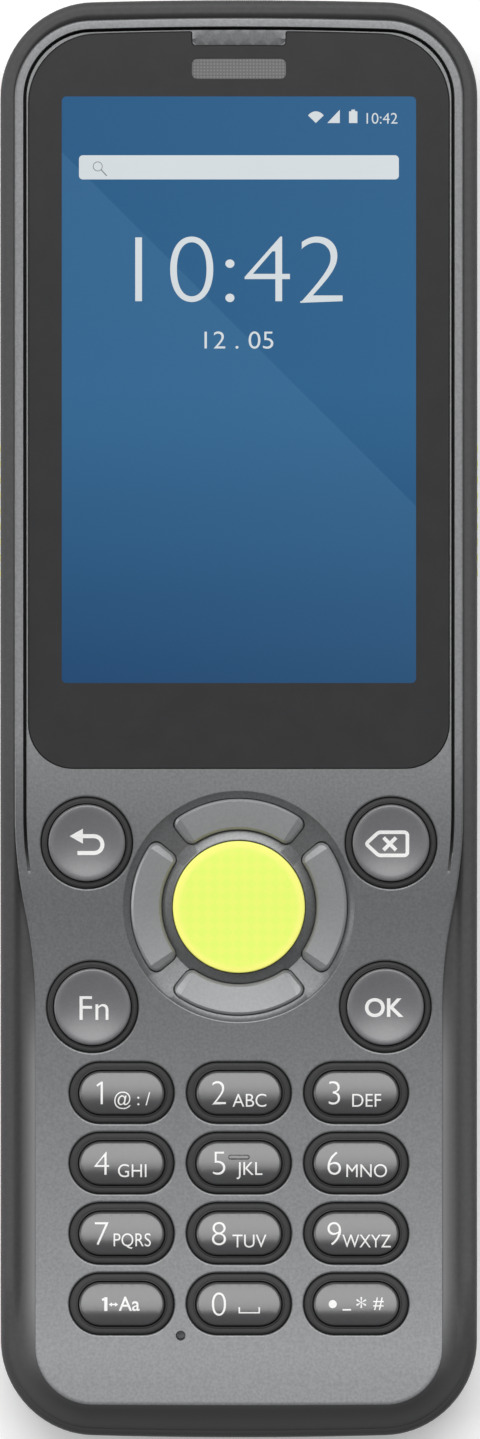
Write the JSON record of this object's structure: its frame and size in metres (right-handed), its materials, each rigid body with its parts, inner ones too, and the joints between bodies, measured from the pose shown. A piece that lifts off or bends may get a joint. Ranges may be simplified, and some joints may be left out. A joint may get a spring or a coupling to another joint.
{
  "type": "portable bar code data terminal",
  "caption": "Hand-held bar code data terminal: display over a dished keypad with a round lime scan key, lime side keys, rubber bumper, scan window, tip-out battery pack.",
  "frame": {"origin": "on the back face, under the middle of the case", "axes": "+Z out of the display, +Y towards the scan window's end, +X to the reader's right"},
  "size_m": [0.0612, 0.184, 0.0204],
  "materials": {
    "light_grey_moulding": "light grey ABS/PC, fine spark-eroded grain",
    "dark_moulding": "dark grey ABS/PC, fine spark-eroded grain",
    "bumper_rubber": "dark grey TPU, smooth satin",
    "seal_rubber": "black silicone",
    "lens_glass": "toughened glass printed black on its back",
    "mesh_metal": "grey woven mesh over the earpiece",
    "display_panel": "3.5 inch liquid crystal display",
    "cast_metal": "cast magnesium, as cast",
    "module_black": "black moulded module",
    "collar_plastic": "near black ABS, satin",
    "silicone": "grey silicone sheet",
    "steel": "stainless steel",
    "board_laminate": "glass epoxy with solder mask",
    "window_red": "dark red tinted scan window",
    "window_dark": "dark camera window",
    "window_clear": "frosted flash lens",
    "flex_laminate": "polyimide flex",
    "gold_plate": "gold plated contact",
    "screw_black": "black oxide steel",
    "brass": "knurled brass",
    "lime_key": "lime yellow rubberised key",
    "number_key_plastic": "grey polycarbonate, gloss lacquer",
    "round_key_plastic": "grey polycarbonate, satin lacquer",
    "arc_key_plastic": "light grey ABS, satin",
    "cell_wrap": "shrink sleeve round the cell",
    "latch_plastic": "grey acetal"
  },
  "bodies": {
    "case": {"front_housing": "light_grey_moulding", "rear_housing": "dark_moulding", "bumper": "bumper_rubber", "housing_gasket": "seal_rubber", "display_lens": "lens_glass", "earpiece_mesh": "mesh_metal", "display_module": "display_panel", "mid_frame": "cast_metal", "earpiece": "module_black", "keypad_bezel": "collar_plastic", "keypad_membrane": "silicone", "dome_switches": "steel", "side_switches": "steel", "main_board": "board_laminate", "shield_cans": "steel", "scan_engine": "module_black", "scan_window": "window_red", "speaker": "module_black", "vibration_motor": "steel", "microphone": "steel", "rear_camera": "module_black", "camera_window": "window_dark", "flash_lens": "window_clear", "antenna": "flex_laminate", "usb_port": "steel", "cradle_contacts": "gold_plate", "strap_bar": "steel", "battery_terminals": "module_black", "housing_screws": "screw_black", "screw_inserts": "brass"},
    "key_1": {"key_1": "number_key_plastic"},
    "key_2": {"key_2": "number_key_plastic"},
    "key_3": {"key_3": "number_key_plastic"},
    "key_4": {"key_4": "number_key_plastic"},
    "key_5": {"key_5": "number_key_plastic"},
    "key_6": {"key_6": "number_key_plastic"},
    "key_7": {"key_7": "number_key_plastic"},
    "key_8": {"key_8": "number_key_plastic"},
    "key_9": {"key_9": "number_key_plastic"},
    "key_case": {"key_case": "number_key_plastic"},
    "key_0": {"key_0": "number_key_plastic"},
    "key_symbol": {"key_symbol": "number_key_plastic"},
    "key_back": {"key_back": "round_key_plastic"},
    "key_delete": {"key_delete": "round_key_plastic"},
    "key_fn": {"key_fn": "round_key_plastic"},
    "key_ok": {"key_ok": "round_key_plastic"},
    "nav_up": {"nav_up": "arc_key_plastic"},
    "nav_left": {"nav_left": "arc_key_plastic"},
    "nav_down": {"nav_down": "arc_key_plastic"},
    "nav_right": {"nav_right": "arc_key_plastic"},
    "scan_key": {"scan_key": "lime_key"},
    "scan_key_left": {"scan_key_left": "lime_key"},
    "scan_key_right": {"scan_key_right": "lime_key"},
    "power_key": {"power_key": "collar_plastic"},
    "battery_pack": {"battery_cover": "dark_moulding", "battery_cell": "cell_wrap", "pack_contacts": "gold_plate"},
    "battery_latch": {"battery_latch": "latch_plastic"}
  },
  "joints": [
    {"name": "key_1_press", "type": "slide", "parent": "case", "child": "key_1", "axis": [0, 0, -1], "range_m": [0, 0.0005], "stiffness_N_per_m": 1500, "springref_m": -0.0001},
    {"name": "key_2_press", "type": "slide", "parent": "case", "child": "key_2", "axis": [0, 0, -1], "range_m": [0, 0.0005], "stiffness_N_per_m": 1500, "springref_m": -0.0001},
    {"name": "key_3_press", "type": "slide", "parent": "case", "child": "key_3", "axis": [0, 0, -1], "range_m": [0, 0.0005], "stiffness_N_per_m": 1500, "springref_m": -0.0001},
    {"name": "key_4_press", "type": "slide", "parent": "case", "child": "key_4", "axis": [0, 0, -1], "range_m": [0, 0.0005], "stiffness_N_per_m": 1500, "springref_m": -0.0001},
    {"name": "key_5_press", "type": "slide", "parent": "case", "child": "key_5", "axis": [0, 0, -1], "range_m": [0, 0.0005], "stiffness_N_per_m": 1500, "springref_m": -0.0001},
    {"name": "key_6_press", "type": "slide", "parent": "case", "child": "key_6", "axis": [0, 0, -1], "range_m": [0, 0.0005], "stiffness_N_per_m": 1500, "springref_m": -0.0001},
    {"name": "key_7_press", "type": "slide", "parent": "case", "child": "key_7", "axis": [0, 0, -1], "range_m": [0, 0.0005], "stiffness_N_per_m": 1500, "springref_m": -0.0001},
    {"name": "key_8_press", "type": "slide", "parent": "case", "child": "key_8", "axis": [0, 0, -1], "range_m": [0, 0.0005], "stiffness_N_per_m": 1500, "springref_m": -0.0001},
    {"name": "key_9_press", "type": "slide", "parent": "case", "child": "key_9", "axis": [0, 0, -1], "range_m": [0, 0.0005], "stiffness_N_per_m": 1500, "springref_m": -0.0001},
    {"name": "key_case_press", "type": "slide", "parent": "case", "child": "key_case", "axis": [0, 0, -1], "range_m": [0, 0.0005], "stiffness_N_per_m": 1500, "springref_m": -0.0001},
    {"name": "key_0_press", "type": "slide", "parent": "case", "child": "key_0", "axis": [0, 0, -1], "range_m": [0, 0.0005], "stiffness_N_per_m": 1500, "springref_m": -0.0001},
    {"name": "key_symbol_press", "type": "slide", "parent": "case", "child": "key_symbol", "axis": [0, 0, -1], "range_m": [0, 0.0005], "stiffness_N_per_m": 1500, "springref_m": -0.0001},
    {"name": "key_back_press", "type": "slide", "parent": "case", "child": "key_back", "axis": [0, 0, -1], "range_m": [0, 0.0005], "stiffness_N_per_m": 1500, "springref_m": -0.0001},
    {"name": "key_delete_press", "type": "slide", "parent": "case", "child": "key_delete", "axis": [0, 0, -1], "range_m": [0, 0.0005], "stiffness_N_per_m": 1500, "springref_m": -0.0001},
    {"name": "key_fn_press", "type": "slide", "parent": "case", "child": "key_fn", "axis": [0, 0, -1], "range_m": [0, 0.0005], "stiffness_N_per_m": 1500, "springref_m": -0.0001},
    {"name": "key_ok_press", "type": "slide", "parent": "case", "child": "key_ok", "axis": [0, 0, -1], "range_m": [0, 0.0005], "stiffness_N_per_m": 1500, "springref_m": -0.0001},
    {"name": "nav_up_press", "type": "slide", "parent": "case", "child": "nav_up", "axis": [0, 0, -1], "range_m": [0, 0.0005], "stiffness_N_per_m": 1500, "springref_m": -0.0001},
    {"name": "nav_left_press", "type": "slide", "parent": "case", "child": "nav_left", "axis": [0, 0, -1], "range_m": [0, 0.0005], "stiffness_N_per_m": 1500, "springref_m": -0.0001},
    {"name": "nav_down_press", "type": "slide", "parent": "case", "child": "nav_down", "axis": [0, 0, -1], "range_m": [0, 0.0005], "stiffness_N_per_m": 1500, "springref_m": -0.0001},
    {"name": "nav_right_press", "type": "slide", "parent": "case", "child": "nav_right", "axis": [0, 0, -1], "range_m": [0, 0.0005], "stiffness_N_per_m": 1500, "springref_m": -0.0001},
    {"name": "scan_key_press", "type": "slide", "parent": "case", "child": "scan_key", "axis": [0, 0, -1], "range_m": [0, 0.0005], "stiffness_N_per_m": 2000, "springref_m": -0.0001},
    {"name": "scan_key_left_press", "type": "slide", "parent": "case", "child": "scan_key_left", "axis": [1, 0, 0], "range_m": [0, 0.0005], "stiffness_N_per_m": 2000, "springref_m": -0.0001},
    {"name": "scan_key_right_press", "type": "slide", "parent": "case", "child": "scan_key_right", "axis": [-1, 0, 0], "range_m": [0, 0.0005], "stiffness_N_per_m": 2000, "springref_m": -0.0001},
    {"name": "power_key_press", "type": "slide", "parent": "case", "child": "power_key", "axis": [-1, 0, 0], "range_m": [0, 0.0005], "stiffness_N_per_m": 2000, "springref_m": -0.0001},
    {"name": "battery_tip", "type": "hinge", "parent": "case", "child": "battery_pack", "pos_m": [0, 0.033, 0], "axis": [1, 0, 0], "range_deg": [0, 35]},
    {"name": "latch_slide", "type": "slide", "parent": "battery_pack", "child": "battery_latch", "axis": [0, -1, 0], "range_m": [0, 0.003]}
  ]
}
